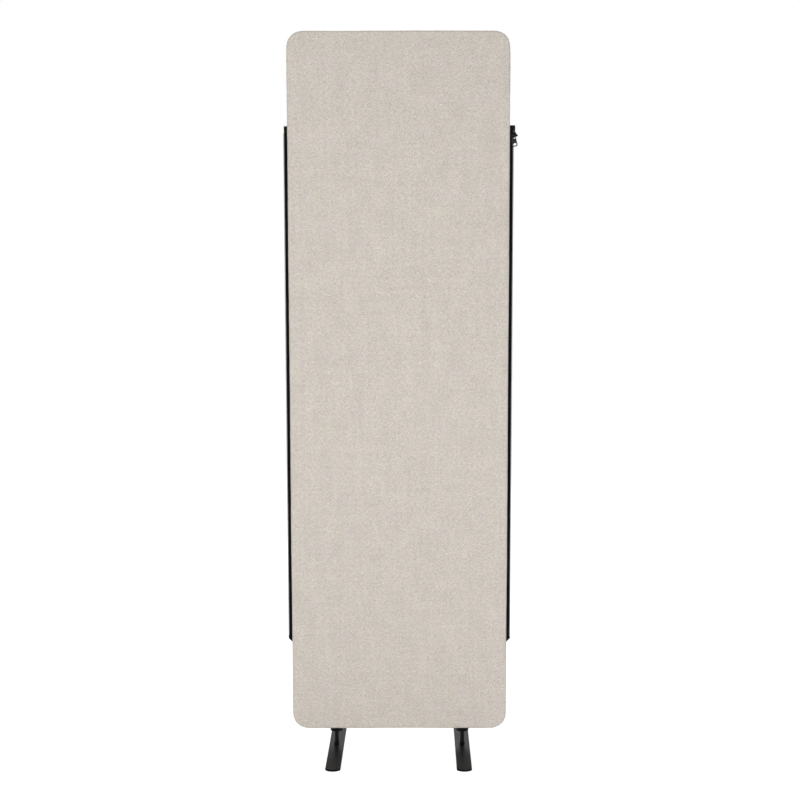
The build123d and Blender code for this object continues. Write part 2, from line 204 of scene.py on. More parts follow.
def ramp(tree, value, stops):
    """Output of a colour ramp with (position, colour) stops."""
    node = put(tree, "ShaderNodeValToRGB", {"Fac": value})
    elements = node.color_ramp.elements
    while len(elements) < len(stops):
        elements.new(0.5)
    for element, (position, colour) in zip(elements, stops):
        element.position = position
        element.color = colour
    return node.outputs["Color"]


def cloud(tree, place, scale, detail, roughness=0.5):
    """Output of a Noise texture."""
    inputs = {"Vector": place, "Scale": scale, "Detail": detail, "Roughness": roughness}
    return put(tree, "ShaderNodeTexNoise", inputs).outputs["Fac"]


def place_on_object(tree):
    """Output with the object's own coordinates."""
    return put(tree, "ShaderNodeTexCoord").outputs["Object"]


def joined(tree, x, y, z):
    """Output with a vector of three parts."""
    return put(tree, "ShaderNodeCombineXYZ", {0: x, 1: y, 2: z}).outputs[0]


def new_group(name, inputs, outputs):
    """An empty node group with named sockets, and its input and output nodes."""
    tree = bpy.data.node_groups.new(name, "ShaderNodeTree")
    for label, kind, value in inputs:
        socket = tree.interface.new_socket(name=label, in_out="INPUT", socket_type=kind)
        if value is not None:
            socket.default_value = value
    for label in outputs:
        tree.interface.new_socket(name=label, in_out="OUTPUT", socket_type="NodeSocketFloat")
    return tree, tree.nodes.new("NodeGroupInput").outputs, tree.nodes.new("NodeGroupOutput").inputs


def use_group(tree, group, inputs):
    """Places a node group in a material with its own values."""
    return put(tree, "ShaderNodeGroup", inputs, node_tree=group).outputs


def new_material(name, **sockets):
    """A material, its node tree and its Principled shader with even values set on the sockets."""
    material = bpy.data.materials.new(name)
    material.use_nodes = True
    tree = material.node_tree
    shader = tree.nodes["Principled BSDF"]
    for key, value in sockets.items():
        shader.inputs[key.replace("_", " ")].default_value = value
    return material, tree, shader


def bump(tree, shader, height, distance, strength):
    """Feeds a height to the shader's normal."""
    node = put(tree, "ShaderNodeBump", {"Height": height, "Distance": distance, "Strength": strength})
    tree.links.new(node.outputs[0], shader.inputs["Normal"])


def grey(level):
    """An opaque grey."""
    return (level, level, level, 1)


# Node groups


def plain_weave_group():
    """Plain weave of slubby yarns: its height, and each yarn's own tone where it lies on top."""
    tree, given, result = new_group(
        "PlainWeave",
        (
            ("Place", "NodeSocketVector", None),
            ("Yarns per Metre", "NodeSocketFloat", 1400.0),
            ("Slub Length in Yarns", "NodeSocketFloat", 9.0),
        ),
        ("Height", "Tone"),
    )
    count = put(
        tree,
        "ShaderNodeVectorMath",
        {0: given["Place"], "Scale": given["Yarns per Metre"]},
        operation="SCALE",
    )
    axes = put(tree, "ShaderNodeSeparateXYZ", {0: count.outputs[0]})
    across, along = axes.outputs["X"], axes.outputs["Y"]
    warp_number = math_node(tree, "FLOOR", across)
    weft_number = math_node(tree, "FLOOR", along)
    number_sum = math_node(tree, "ADD", warp_number, weft_number)
    weft_on_top = math_node(tree, "FLOORED_MODULO", number_sum, 2.0)

    # A yarn is round across its width, and rises from a low level between crossings to its full
    # height in the middle of one
    rise = 0.45
    low = 0.55
    in_warp = math_node(tree, "SUBTRACT", math_node(tree, "FRACT", across), 0.5)
    in_weft = math_node(tree, "SUBTRACT", math_node(tree, "FRACT", along), 0.5)
    heights = []
    for own, other in ((in_warp, in_weft), (in_weft, in_warp)):
        round_own = math_node(tree, "COSINE", math_node(tree, "MULTIPLY", own, math.pi))
        round_other = math_node(tree, "COSINE", math_node(tree, "MULTIPLY", other, math.pi))
        lifted = math_node(tree, "MULTIPLY_ADD", round_other, rise, low)
        heights.append(math_node(tree, "MULTIPLY", math_node(tree, "SQRT", round_own), lifted))

    # Noise that is read far apart for each yarn, and farther for the weft, gives each its own slubs
    yarn_apart = 7.31
    weft_apart = 40.0
    slub = math_node(tree, "DIVIDE", 1.0, given["Slub Length in Yarns"])
    tones = []
    for number, run, depth in ((warp_number, along, 0.0), (weft_number, across, weft_apart)):
        yarn = math_node(tree, "MULTIPLY", number, yarn_apart)
        spot = joined(tree, yarn, math_node(tree, "MULTIPLY", run, slub), depth)
        tones.append(cloud(tree, spot, scale=1.0, detail=2.0))
    tree.links.new(mix_value(tree, weft_on_top, *heights), result["Height"])
    tree.links.new(mix_value(tree, weft_on_top, *tones), result["Tone"])
    return tree


def fine_grain_group():
    """Fine grain of a coat or a moulding: its height, and a slow change of gloss."""
    tree, given, result = new_group(
        "FineGrain",
        (
            ("Grains per Metre", "NodeSocketFloat", 1500.0),
            ("Roughness", "NodeSocketFloat", 0.4),
            ("Roughness Change", "NodeSocketFloat", 0.1),
        ),
        ("Height", "Roughness"),
    )
    slow_per_metre = 60.0
    noise_middle = 0.5
    noise_gain = 2.0
    place = place_on_object(tree)
    grain = cloud(tree, place, scale=given["Grains per Metre"], detail=3.0)
    tree.links.new(grain, result["Height"])
    slow = cloud(tree, place, scale=slow_per_metre, detail=4.0)
    centred = math_node(tree, "SUBTRACT", slow, noise_middle)
    change = math_node(tree, "MULTIPLY", centred, given["Roughness Change"])
    rough = math_node(tree, "MULTIPLY_ADD", change, noise_gain, given["Roughness"])
    tree.links.new(rough, result["Roughness"])
    return tree


def wear_and_glint_group():
    """Mask of lighter spots along outer edges: rubbed wear, and on the zip's slider and pull also a
    painted glint where the edges would catch light.
    """
    tree, given, result = new_group(
        "EdgeWearAndGlint",
        (
            ("Edge Width", "NodeSocketFloat", 0.0004),
            ("Amount", "NodeSocketFloat", 0.5),
            ("Spots per Metre", "NodeSocketFloat", 900.0),
        ),
        ("WearAndGlint",),
    )
    gain = 12.0
    soft = put(tree, "ShaderNodeBevel", {"Radius": given["Edge Width"]}, samples=bevel_samples)
    sharp = put(tree, "ShaderNodeNewGeometry").outputs["Normal"]
    agreement = put(
        tree, "ShaderNodeVectorMath", {0: soft.outputs[0], 1: sharp}, operation="DOT_PRODUCT"
    )
    bend = math_node(tree, "SUBTRACT", 1.0, agreement.outputs["Value"])
    spots = cloud(tree, place_on_object(tree), scale=given["Spots per Metre"], detail=3.0)
    # Spots on the bent edges: rubbed wear, and painted glints where the enamels' edges catch light.
    rubbed_and_glinting = math_node(tree, "MULTIPLY", bend, math_node(tree, "MULTIPLY", spots, gain))
    wear_and_glint_mask = math_node(tree, "MULTIPLY", rubbed_and_glinting, given["Amount"])
    tree.links.new(put(tree, "ShaderNodeClamp", {"Value": wear_and_glint_mask}).outputs[0], result["WearAndGlint"])
    return tree


def level_gloss_group():
    """Coat that has levelled out on flat faces and ran thin at their edges."""
    tree, given, result = new_group(
        "LevelGloss",
        (("Gloss", "NodeSocketFloat", 0.4), ("Edge Width", "NodeSocketFloat", 0.003)),
        ("Coat",),
    )
    fall_off = 5.0
    rounded = put(tree, "ShaderNodeBevel", {"Radius": given["Edge Width"]}, samples=bevel_samples)
    upward = put(tree, "ShaderNodeSeparateXYZ", {0: rounded.outputs[0]}).outputs["Z"]
    flatness = math_node(tree, "POWER", math_node(tree, "ABSOLUTE", upward), fall_off)
    tree.links.new(math_node(tree, "MULTIPLY", flatness, given["Gloss"]), result["Coat"])
    return tree


plain_weave = plain_weave_group()
fine_grain = fine_grain_group()
edge_wear_and_glint = wear_and_glint_group()
level_gloss = level_gloss_group()


# Materials


def cover_material():
    """Beige melange cloth: plain weave of yarns spun from paler and darker fibres, with painted shade
    in the hollows between the yarns.
    """
    material, tree, shader = new_material(
        "CoverFabric", Roughness=0.92, Specular_IOR_Level=0.25, Sheen_Weight=0.12, Sheen_Roughness=0.55
    )
    place = put(tree, "ShaderNodeUVMap", uv_map="ClothPlace").outputs[0]
    weave_counts = {"Place": place, "Yarns per Metre": 1350.0, "Slub Length in Yarns": 8.0}
    weave = use_group(tree, plain_weave, weave_counts)
    yarn_colours = (
        (0.30, (0.315, 0.278, 0.241, 1)),
        (0.42, (0.535, 0.483, 0.425, 1)),
        (0.56, (0.635, 0.583, 0.525, 1)),
        (0.72, (0.765, 0.722, 0.675, 1)),
    )

    def bars(strength):
        """Tints of bars that are darker and paler by a strength."""
        return ((0.3, grey(1 - strength)), (0.7, grey(1 + strength)))

    fibre_tints = ((0.26, grey(0.76)), (0.50, grey(1.0)), (0.74, grey(1.14)))
    dye_tints = ((0.32, (0.99, 1.006, 0.985, 1)), (0.68, (1.007, 1.0, 1.035, 1)))
    # Share of the noise's scale that counts across, along and through the cloth, then its scale,
    # detail and roughness, and its tints
    tint_layers = {
        "fibres": ((1.0, 0.55, 1.0), 620.0, 1.0, 0.7, fibre_tints),
        "warp bars": ((1.0, 0.05, 1.0), 110.0, 2.0, 0.5, bars(0.022)),
        "weft bars": ((0.05, 1.0, 1.0), 110.0, 2.0, 0.5, bars(0.018)),
        "mottling": ((1.0, 0.6, 1.0), 26.0, 2.0, 0.5, bars(0.030)),
        "dye": ((1.0, 0.4, 1.0), 60.0, 2.0, 0.5, dye_tints),
    }
    colour = ramp(tree, weave["Tone"], yarn_colours)
    for stretch, scale, detail, roughness, tints in tint_layers.values():
        run = put(tree, "ShaderNodeMapping", {"Vector": place, "Scale": stretch}).outputs[0]
        tint = ramp(tree, cloud(tree, run, scale, detail, roughness), tints)
        colour = tinted(tree, colour, tint)
    # Painted shade: the weave's low places between the yarns are darkened by its height.
    groove_painted_shade = ((0.0, grey(0.72)), (0.6, grey(1.0)))
    colour = tinted(tree, colour, ramp(tree, weave["Height"], groove_painted_shade))
    tree.links.new(colour, shader.inputs["Base Color"])
    bump(tree, shader, weave["Height"], distance=0.25 * MM, strength=0.6)
    return material


def thread_material():
    """Beige sewing thread with the ridges of its twist."""
    material, tree, shader = new_material("SewingThread", Roughness=0.6, Sheen_Weight=0.2)
    twist = put(
        tree,
        "ShaderNodeTexWave",
        {"Vector": place_on_object(tree), "Scale": 900.0, "Distortion": 1.0},
        bands_direction="DIAGONAL",
    ).outputs["Fac"]
    dark_thread = (0.50, 0.45, 0.38, 1)
    pale_thread = (0.68, 0.63, 0.55, 1)
    colour = mix_colour(tree, twist, dark_thread, pale_thread)
    tree.links.new(colour, shader.inputs["Base Color"])
    bump(tree, shader, twist, distance=0.1 * MM, strength=0.5)
    return material


def tape_material():
    """Black woven zip tape, whose weave lies in the panel's plane."""
    material, tree, shader = new_material("ZipTape", Roughness=0.9, Specular_IOR_Level=0.03)
    axes = put(tree, "ShaderNodeSeparateXYZ", {0: place_on_object(tree)}).outputs
    place = joined(tree, axes["X"], axes["Z"], axes["Y"])
    weave_counts = {"Place": place, "Yarns per Metre": 2200.0, "Slub Length in Yarns": 5.0}
    weave = use_group(tree, plain_weave, weave_counts)
    dark_yarn = (0.002, 0.002, 0.003, 1)
    pale_yarn = (0.012, 0.012, 0.013, 1)
    colour = mix_colour(tree, weave["Tone"], dark_yarn, pale_yarn)
    tree.links.new(colour, shader.inputs["Base Color"])
    bump(tree, shader, weave["Height"], distance=0.15 * MM, strength=0.7)
    return material


def coated_material(
    name, dark, pale, grains, grain_depth, gloss_change, wear=None, flat_gloss=0.0, **sockets
):
    """A moulded or coated finish: grained, uneven in gloss, lighter in spots at edges from wear and
    painted glints, glossier on flat tops.

    grains are per metre, and wear is the edge's width, the amount and the colour of the lighter edge
    spots, which are part rubbed wear and part painted glint.
    """
    material, tree, shader = new_material(name, **sockets)
    grain_counts = {
        "Grains per Metre": grains,
        "Roughness": sockets["Roughness"],
        "Roughness Change": gloss_change,
    }
    surface = use_group(tree, fine_grain, grain_counts)
    colour = mix_colour(tree, surface["Height"], dark, pale)
    # Lighter edge spots: rubbed wear, and on the enamels a painted glint that stands in for edge
    # highlights.
    if wear:
        edge_width, amount, wear_and_glint_colour = wear
        wear_and_glint_mask = use_group(tree, edge_wear_and_glint, {"Edge Width": edge_width, "Amount": amount})
        colour = mix_colour(tree, wear_and_glint_mask["WearAndGlint"], colour, wear_and_glint_colour)
    tree.links.new(colour, shader.inputs["Base Color"])
    tree.links.new(surface["Roughness"], shader.inputs["Roughness"])
    if flat_gloss:
        gloss = use_group(tree, level_gloss, {"Gloss": flat_gloss, "Edge Width": 3 * MM})
        tree.links.new(gloss["Coat"], shader.inputs["Coat Weight"])
    bump(tree, shader, surface["Height"], distance=grain_depth, strength=0.5)
    return material


cover_fabric = cover_material()
sewing_thread = thread_material()
zip_tape_cloth = tape_material()
foam_open_cell = coated_material(
    "Foam",
    dark=(0.62, 0.60, 0.55, 1),
    pale=(0.86, 0.84, 0.80, 1),
    grains=1600.0,
    grain_depth=0.6 * MM,
    gloss_change=0.05,
    Roughness=0.95,
)
core_felt = coated_material(
    "PressedFelt",
    dark=(0.10, 0.105, 0.11, 1),
    pale=(0.30, 0.31, 0.33, 1),
    grains=900.0,
    grain_depth=0.8 * MM,
    gloss_change=0.05,
    Roughness=0.95,
)
frame_coat = coated_material(
    "FrameCoat",
    dark=grey(0.018),
    pale=grey(0.035),
    grains=1400.0,
    grain_depth=0.06 * MM,
    gloss_change=0.10,
    Roughness=0.45,
)
rivet_metal = coated_material(
    "RivetMetal",
    dark=grey(0.55),
    pale=grey(0.66),
    grains=2500.0,
    grain_depth=0.03 * MM,
    gloss_change=0.15,
    Roughness=0.35,
    Metallic=1.0,
)
screw_oxide = coated_material(
    "ScrewOxide",
    dark=grey(0.10),
    pale=grey(0.16),
    grains=2500.0,
    grain_depth=0.03 * MM,
    gloss_change=0.15,
    Roughness=0.35,
    Metallic=1.0,
)
pad_rubber = coated_material(
    "PadRubber",
    dark=grey(0.010),
    pale=grey(0.022),
    grains=1500.0,
    grain_depth=0.12 * MM,
    gloss_change=0.05,
    Roughness=0.8,
)

black_coat = {"dark": grey(0.0015), "pale": grey(0.004), "grains": 1300.0, "gloss_change": 0.10}
foot_coat = coated_material(
    "FootCoat",
    **black_coat,
    grain_depth=0.05 * MM,
    wear=(0.5 * MM, 0.2, grey(0.03)),
    flat_gloss=0.20,
    Roughness=0.42,
    Specular_IOR_Level=0.04,
    Coat_Roughness=0.35,
)
post_coat = coated_material(
    "PostCoat", **black_coat, grain_depth=0.04 * MM, Roughness=0.32, Specular_IOR_Level=0.11
)
socket_coat = coated_material(
    "SocketCoat", **black_coat, grain_depth=0.04 * MM, Roughness=0.45, Specular_IOR_Level=0.05
)

zip_plastic = coated_material(
    "ZipPlastic",
    dark=grey(0.002),
    pale=grey(0.006),
    grains=2600.0,
    grain_depth=0.04 * MM,
    gloss_change=0.15,
    Roughness=0.38,
    Specular_IOR_Level=0.10,
)
zip_film = coated_material(
    "ZipFilm",
    dark=grey(0.002),
    pale=grey(0.005),
    grains=2000.0,
    grain_depth=0.04 * MM,
    gloss_change=0.10,
    Roughness=0.45,
    Specular_IOR_Level=0.05,
)

# The enamels' pale edge spots are partly wear and partly a painted glint on the slider's and pull's
# edges.
enamel = {
    "grains": 1800.0,
    "grain_depth": 0.03 * MM,
    "gloss_change": 0.15,
    "wear": (0.3 * MM, 0.4, grey(0.20)),
    "Roughness": 0.25,
    "Specular_IOR_Level": 0.14,
}
slider_enamel = coated_material("SliderEnamel", dark=grey(0.002), pale=grey(0.005), **enamel)
pull_enamel = coated_material("PullEnamel", dark=grey(0.018), pale=grey(0.028), **enamel)


# Cloth skins: a grid over the panel's face up to a margin, and rings from it round the edge

skin_margin = 50 * MM


def side_stations(cells, corner_cells, half_straight):
    """Along one side of the outline, for each cell: how far along, and the angle off square."""
    half_corner = math.pi / 4
    stations = []
    for index in range(cells):
        if index < corner_cells:
            stations.append((-half_straight, (index / corner_cells - 1) * half_corner))
        elif index > cells - corner_cells:
            stations.append((half_straight, (1 - (cells - index) / corner_cells) * half_corner))
        else:
            share = (index - corner_cells) / (cells - 2 * corner_cells)
            stations.append(((2 * share - 1) * half_straight, 0.0))
    return stations


def skin_border(cells_x, cells_z, corner_cells):
    """For each vertex on the face grid's border, its centre of turning and its outward normal."""
    straight_x = panel_half - corner_radius
    straight_z = panel_half_height - corner_radius
    sides = (
        ((1, 0), (0, -1), cells_x, straight_x, straight_z),
        ((0, 1), (1, 0), cells_z, straight_z, straight_x),
        ((-1, 0), (0, 1), cells_x, straight_x, straight_z),
        ((0, -1), (-1, 0), cells_z, straight_z, straight_x),
    )
    border = []
    for along, out, cells, straight, reach in sides:
        for place, angle in side_stations(cells, corner_cells, straight):
            normal = [
                out[axis] * math.cos(angle) + along[axis] * math.sin(angle) for axis in (0, 1)
            ]
            centre = [out[axis] * reach + along[axis] * place for axis in (0, 1)]
            border.append(((centre[0], panel_middle + centre[1]), normal))
    return border


def skin(step, corner_cells, face_rows, profile, shape):
    """Vertices, faces and flat places of a skin.

    step is the size of the grid's cells, corner_cells the number of them in half a corner, and
    profile a list of (inset, y, cloth length beyond the face) from the seam to the face. shape
    moves a vertex: it takes its place, outward normal, cloth length from the seam and flat place.
    """
    grid_half = panel_half - skin_margin
    grid_half_height = panel_half_height - skin_margin
    cells_x = round(2 * grid_half / step)
    cells_z = round(2 * grid_half_height / step)
    border = skin_border(cells_x, cells_z, corner_cells)
    face_inset, face_y, _ = profile[-1]
    face_normal = Vector((0, -1, 0))
    face_edge = corner_radius - face_inset
    wrap_length = profile[0][2]
    vertices, places, faces = [], [], []

    def put_vertex(x, y, z, normal, from_seam, place):
        vertices.append(shape(Vector((x, y, z)), normal, from_seam, place))
        places.append(place)

    # The grid over the middle of the face
    for row in range(cells_z + 1):
        z = panel_middle + (2 * row / cells_z - 1) * grid_half_height
        for column in range(cells_x + 1):
            x = (2 * column / cells_x - 1) * grid_half
            put_vertex(x, face_y, z, face_normal, wrap_length + skin_margin, (x, z))
    width = cells_x + 1
    for row in range(cells_z):
        for column in range(cells_x):
            corner = row * width + column
            faces.append((corner, corner + 1, corner + width + 1, corner + width))

    # Rings from the grid's border out to the edge of the face
    previous = list(range(cells_x))
    previous += [row * width + cells_x for row in range(cells_z)]
    previous += [cells_z * width + column for column in range(cells_x, 0, -1)]
    previous += [row * width for row in range(cells_z, 0, -1)]
    grid_places = [places[index] for index in previous]
    for ring_number in range(1, face_rows + 1):
        share = ring_number / face_rows
        from_seam = wrap_length + skin_margin * (1 - share)
        ring = []
        for (centre, normal), (x, z) in zip(border, grid_places):
            edge_x = centre[0] + normal[0] * face_edge
            edge_z = centre[1] + normal[1] * face_edge
            place = (x + (edge_x - x) * share, z + (edge_z - z) * share)
            ring.append(len(vertices))
            put_vertex(place[0], face_y, place[1], face_normal, from_seam, place)
        faces += ring_faces(previous, ring)
        previous = ring

    # Rings from there round the edge to the seam
    for inset, y, beyond in reversed(profile[:-1]):
        out = corner_radius - inset
        lean = min(1.0, max(0.0, (face_inset - inset) / face_inset))
        ring = []
        for (centre_x, centre_z), (normal_x, normal_z) in border:
            flat_reach = face_edge + beyond
            place = (centre_x + normal_x * flat_reach, centre_z + normal_z * flat_reach)
            outward = Vector((normal_x * lean, lean - 1, normal_z * lean)).normalized()
            x, z = centre_x + normal_x * out, centre_z + normal_z * out
            ring.append(len(vertices))
            put_vertex(x, y, z, outward, wrap_length - beyond, place)
        faces += ring_faces(previous, ring)
        previous = ring
    return vertices, faces, places


def edge_profile(inset, seam_roll, arc_steps):
    """(inset, y, cloth length beyond the face) from the seam, or the frame's face, round the edge."""
    # Further inset and y of the cover where its edge rolls into the seam, in millimetres
    roll = [
        (2.40, -0.45),
        (1.20, -0.50),
        (0.50, -0.75),
        (0.12, -1.30),
        (0.00, -2.10),
        (0.00, -3.60),
        (0.00, -5.40),
    ]
    bend = edge_radius - inset
    centre_y = panel_half_depth - edge_radius
    if seam_roll:
        points = [(inset + further * MM, y * MM) for further, y in roll]
        start_angle = 0.0
    else:
        points = []
        start_angle = math.asin((tube_half - centre_y) / bend)
    for number in range(arc_steps + 1):
        angle = start_angle + number / arc_steps * (math.pi / 2 - start_angle)
        points.append(
            (edge_radius - bend * math.cos(angle), -(centre_y + bend * math.sin(angle)))
        )
    lengths = [0.0]
    for (inset_a, y_a), (inset_b, y_b) in zip(points, points[1:]):
        lengths.append(lengths[-1] + math.hypot(inset_b - inset_a, y_b - y_a))
    return [(i, y, lengths[-1] - length) for (i, y), length in zip(points, lengths)]


def cloth_shape(seed, tuck):
    """How the sewn cover departs from its even form: slack, gathers at the corners, seam puckers."""
    # Height of the cloth's waves, and their number per metre
    slack = (0.7 * MM, 5)
    ripples = (0.25 * MM, 17)
    edge_waves = (0.35 * MM, 38)
    puckers = (0.22 * MM, 130)

    # Distance from the seam up to which each holds, and the width of the fade beyond it
    edge_waves_end = (8 * MM, 14 * MM)
    puckers_end = (2 * MM, 6 * MM)
    gathers_end = (3 * MM, 9 * MM)
    pulled_end = (12 * MM, 5 * MM)

    # Gathers follow the arc of a corner on a pitch that drifts
    gather_pitch = 7.5 * MM
    gather_height = 0.42 * MM
    gather_sink = 0.4
    gather_margin = 12 * MM
    gather_fade = 8 * MM
    drift = 2.5
    drifts_along = 60
    drifts_between = 3
    least_reach = 1e-6

    # The tuck is a valley with a ridge beside it, from its start at the edge to a spot on the face.
    # Its fades are shares of that run. It stays clear of the seam, and pulls the edge beside it in.
    tuck_start = Vector((panel_half, panel_top - 40 * MM))
    tuck_run = Vector((panel_half - 26 * MM, panel_top - 68 * MM)) - tuck_start
    tuck_fade_in = 0.35
    tuck_end = (0.35, 0.4)
    tuck_clearance = 9 * MM
    tuck_clearance_fade = 5 * MM
    valley_depth = 1.7 * MM
    valley_width = 2.6 * MM
    ridge_height = 1.2 * MM
    ridge_width = 4.5 * MM
    ridge_aside = 5.5 * MM
    pulled_in = 1.0 * MM
    pulled_z = panel_top - 34 * MM
    pulled_width = 11 * MM

    def gathers(place, from_seam):
        """Lift of the gathers where the cloth turns round a corner."""
        corner_x = abs(place.x) - (panel_half - corner_radius)
        corner_z = abs(place.z - panel_middle) - (panel_half_height - corner_radius)
        if min(corner_x, corner_z) <= -gather_margin:
            return 0.0
        arc = math.atan2(max(corner_z, 0.0), max(corner_x, least_reach)) * corner_radius
        inside = bell(min(corner_x, 0.0), gather_fade) * bell(min(corner_z, 0.0), gather_fade)
        between_x, between_z = place.x * drifts_between, place.z * drifts_between
        spot = Vector((arc * drifts_along, seed + between_x, between_z))
        phase = arc / gather_pitch * math.tau + drift * noise.noise(spot)
        held = inside * fading(from_seam, *gathers_end)
        return held * gather_height * (math.sin(phase) - gather_sink)

    def tuck_lift(place, facing, from_seam):
        """Lift of the tuck near the top right corner, and of the edge that it pulls in."""
        spot = Vector((place.x, place.z)) - tuck_start
        along = spot.dot(tuck_run) / tuck_run.length_squared
        aside = (spot.x * tuck_run.y - spot.y * tuck_run.x) / tuck_run.length
        fade = bell(min(along, 0.0), tuck_fade_in) * fading(along, *tuck_end)
        clear = fading(-from_seam, -tuck_clearance, tuck_clearance_fade)
        valley = -valley_depth * bell(aside, valley_width)
        ridge = ridge_height * bell(aside - ridge_aside, ridge_width)
        lift = fade * (valley + ridge) * facing * clear
        if place.x > 0:
            pulled = bell(place.z - pulled_z, pulled_width) * (1 - facing)
            lift -= pulled_in * pulled * fading(from_seam, *pulled_end)
        return lift

    def shape(place, normal, from_seam, flat):
        flat_spot = Vector((flat[0], flat[1], seed))

        def waves(height, per_metre):
            return height * noise.noise(flat_spot * per_metre)

        lift = waves(*slack) + waves(*ripples)
        lift += fading(from_seam, *edge_waves_end) * waves(*edge_waves)
        lift += fading(from_seam, *puckers_end) * waves(*puckers)
        lift += gathers(place, from_seam)
        if tuck:
            lift += tuck_lift(place, max(0.0, -normal.y), from_seam)
        return place + normal * lift

    return shape


def foam_shape(place, normal, from_seam, flat):
    """How the foam yields a little under the cover, more in some spots than in others."""
    yielding = 0.15 * MM
    yields_per_metre = 20
    seed = 3
    soft = noise.noise(Vector((flat[0], flat[1], seed)) * yields_per_metre)
    return place - normal * yielding * (1 + soft)


def mirrored_to_back(vertices, faces):
    """The same skin on the panel's other face."""
    turned = [Vector((v.x, -v.y, v.z)) for v in vertices]
    return turned, [tuple(reversed(face)) for face in faces]


def cover(name, node, seed, at_back):
    """A front or back cover, cut to size and sewn round the panel's edge."""
    profile = edge_profile(0.0, seam_roll=True, arc_steps=5)
    shape = cloth_shape(seed, tuck=not at_back)
    vertices, faces, places = skin(
        step=6 * MM, corner_cells=8, face_rows=10, profile=profile, shape=shape
    )
    if at_back:
        vertices, faces = mirrored_to_back(vertices, faces)
    piece = mesh_piece(name, vertices, faces, cover_fabric, "panel", closed=False)
    store_cloth_place(piece, places)
    add_modifier(piece, "SOLIDIFY", thickness=cloth_thickness, offset=-1)
    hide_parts(node)


def foam_sheet(name, node, at_back):
    """Foam sheet that pads the frame's face and turns round its edge."""
    profile = edge_profile(cloth_thickness, seam_roll=False, arc_steps=4)
    vertices, faces, _ = skin(
        step=16 * MM, corner_cells=5, face_rows=4, profile=profile, shape=foam_shape
    )
    if at_back:
        vertices, faces = mirrored_to_back(vertices, faces)
    piece = mesh_piece(name, vertices, faces, foam_open_cell, "panel", closed=False)
    clearance = 0.2 * MM
    add_modifier(piece, "SOLIDIFY", thickness=foam_thickness - clearance, offset=-1)
    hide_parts(node)


foam_sheet("foam_padding_front", "front_foam", at_back=False)
foam_sheet("foam_padding_back", "back_foam", at_back=True)
cover("fabric_cover_front", "front_cover", seed=11.0, at_back=False)
cover("fabric_cover_back", "back_cover", seed=47.0, at_back=True)


# Half zips


def tape_section():
    """Points (across from the bead's inner side, y) round the tape and the cord on its edge.

    In the seam the tape turns into a leg that runs to the back between the covers.
    """
    half = tape_thickness / 2
    leg = -7.8 * MM
    leg_end = 7 * MM
    bend = 0.8 * MM
    cord_start = -0.3 * MM
    back_side = [
        (leg + half, leg_end),
        (leg + half, leg_end / 2),
        (leg + half, bend + half / 2),
        (leg + half * 1.4, half * 1.2),
        (leg + bend + half, half),
        (leg / 2, half),
        (cord_start, half),
    ]
    front_side = [
        (cord_start, -half),
        (leg / 2, -half),
        (leg + bend, -half),
        (leg + half / 4, -half * 0.7),
        (leg - half * 0.7, half / 4),
        (leg - half, bend),
        (leg - half, leg_end / 2),
        (leg - half, leg_end),
    ]
    cord_radius = 0.9 * MM
    cord_centre = 0.9 * MM
    cord_points = 10
    open_angle = math.radians(155)
    cord = []
    for number in range(cord_points + 1):
        angle = open_angle * (1 - 2 * number / cord_points)
        cord.append((cord_centre + cord_radius * math.cos(angle), cord_radius * math.sin(angle)))
    return back_side + cord + front_side


def woven_tape(side):
    """Zip tape with its corded edge, cut at a slant at its top and at its bottom."""
    name = side_names[side]
    rows = 160
    tail = 2 * MM
    bottom_slant = 1.15
    top_drop = 3.4 * MM if side < 0 else -0.5 * MM
    top_slant = top_drop / tape_reach
    cord_top = zip_top - (insertion_pin_length if side < 0 else box_and_pin_length)
    cord_from = 0.2 * MM
    sections = []
    for row in range(rows + 1):
        section = []
        for across, y in tape_section():
            x = bead_x + across
            beyond = max(0.0, x - panel_half)
            low = zip_bottom - tail + bottom_slant * beyond
            high = cord_top if across > cord_from else zip_top - top_slant * beyond
            section.append((side * x, y, low + (high - low) * row / rows))
        sections.append(section)
    vertices, faces = loft(sections)
    piece = mesh_piece(f"woven_tape_{name}", vertices, faces, zip_tape_cloth, "panel")
    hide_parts(f"zip_tape_{name}")


def chamfered_section(half_height, half_thick, bevel):
    """Eight corners of a block's section with its edges cut off, as (up, thick)."""
    quarter = [(half_height - bevel, half_thick), (half_height, half_thick - bevel)]
    below = [(up, -thick) for up, thick in reversed(quarter)]
    inner = [(-up, thick) for up, thick in reversed(quarter + below)]
    return quarter + below + inner


def moulded_teeth(side):
    """Row of moulded teeth, each gripping the tape's cord and swelling to a head."""
    name = side_names[side]
    row_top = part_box(f"zip_teeth_{name}")[1].z
    stagger = 0.5 if side < 0 else 0.0
    first = math.ceil((zip_top - row_top + tooth_head_height / 2) / tooth_pitch - stagger)
    last = math.floor((zip_top - stop_top - tooth_head_height / 2) / tooth_pitch - stagger)
    first_z = zip_top - (first + stagger) * tooth_pitch
    # Distance out from the bead's inner side, half height and half thickness, in millimetres
    stations = [
        (-1.55, 1.00, 0.60),
        (-1.35, 1.20, 0.80),
        (-0.25, 1.28, 0.80),
        (0.00, 1.28, 1.30),
        (0.25, 1.28, 1.48),
        (1.40, 1.28, 1.48),
        (1.75, 0.95, 1.34),
        (2.10, 0.88, 1.28),
        (2.45, 1.18, 1.28),
        (2.80, 1.33, 1.30),
        (3.28, 1.30, 1.24),
        (3.50, 1.08, 1.08),
        (3.60, 0.70, 0.80),
    ]
    bevel = 0.28
    sections = []
    for out, half_height, half_thick in stations:
        x = side * (bead_x + out * MM)
        corners = chamfered_section(half_height, half_thick, bevel)
        sections.append([(x, thick * MM, first_z + up * MM) for up, thick in corners])
    vertices, faces = loft(sections)
    piece = mesh_piece(f"moulded_teeth_{name}", vertices, faces, zip_plastic, "panel")
    add_run(piece, last - first + 1, tooth_pitch)
    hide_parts(f"zip_teeth_{name}")


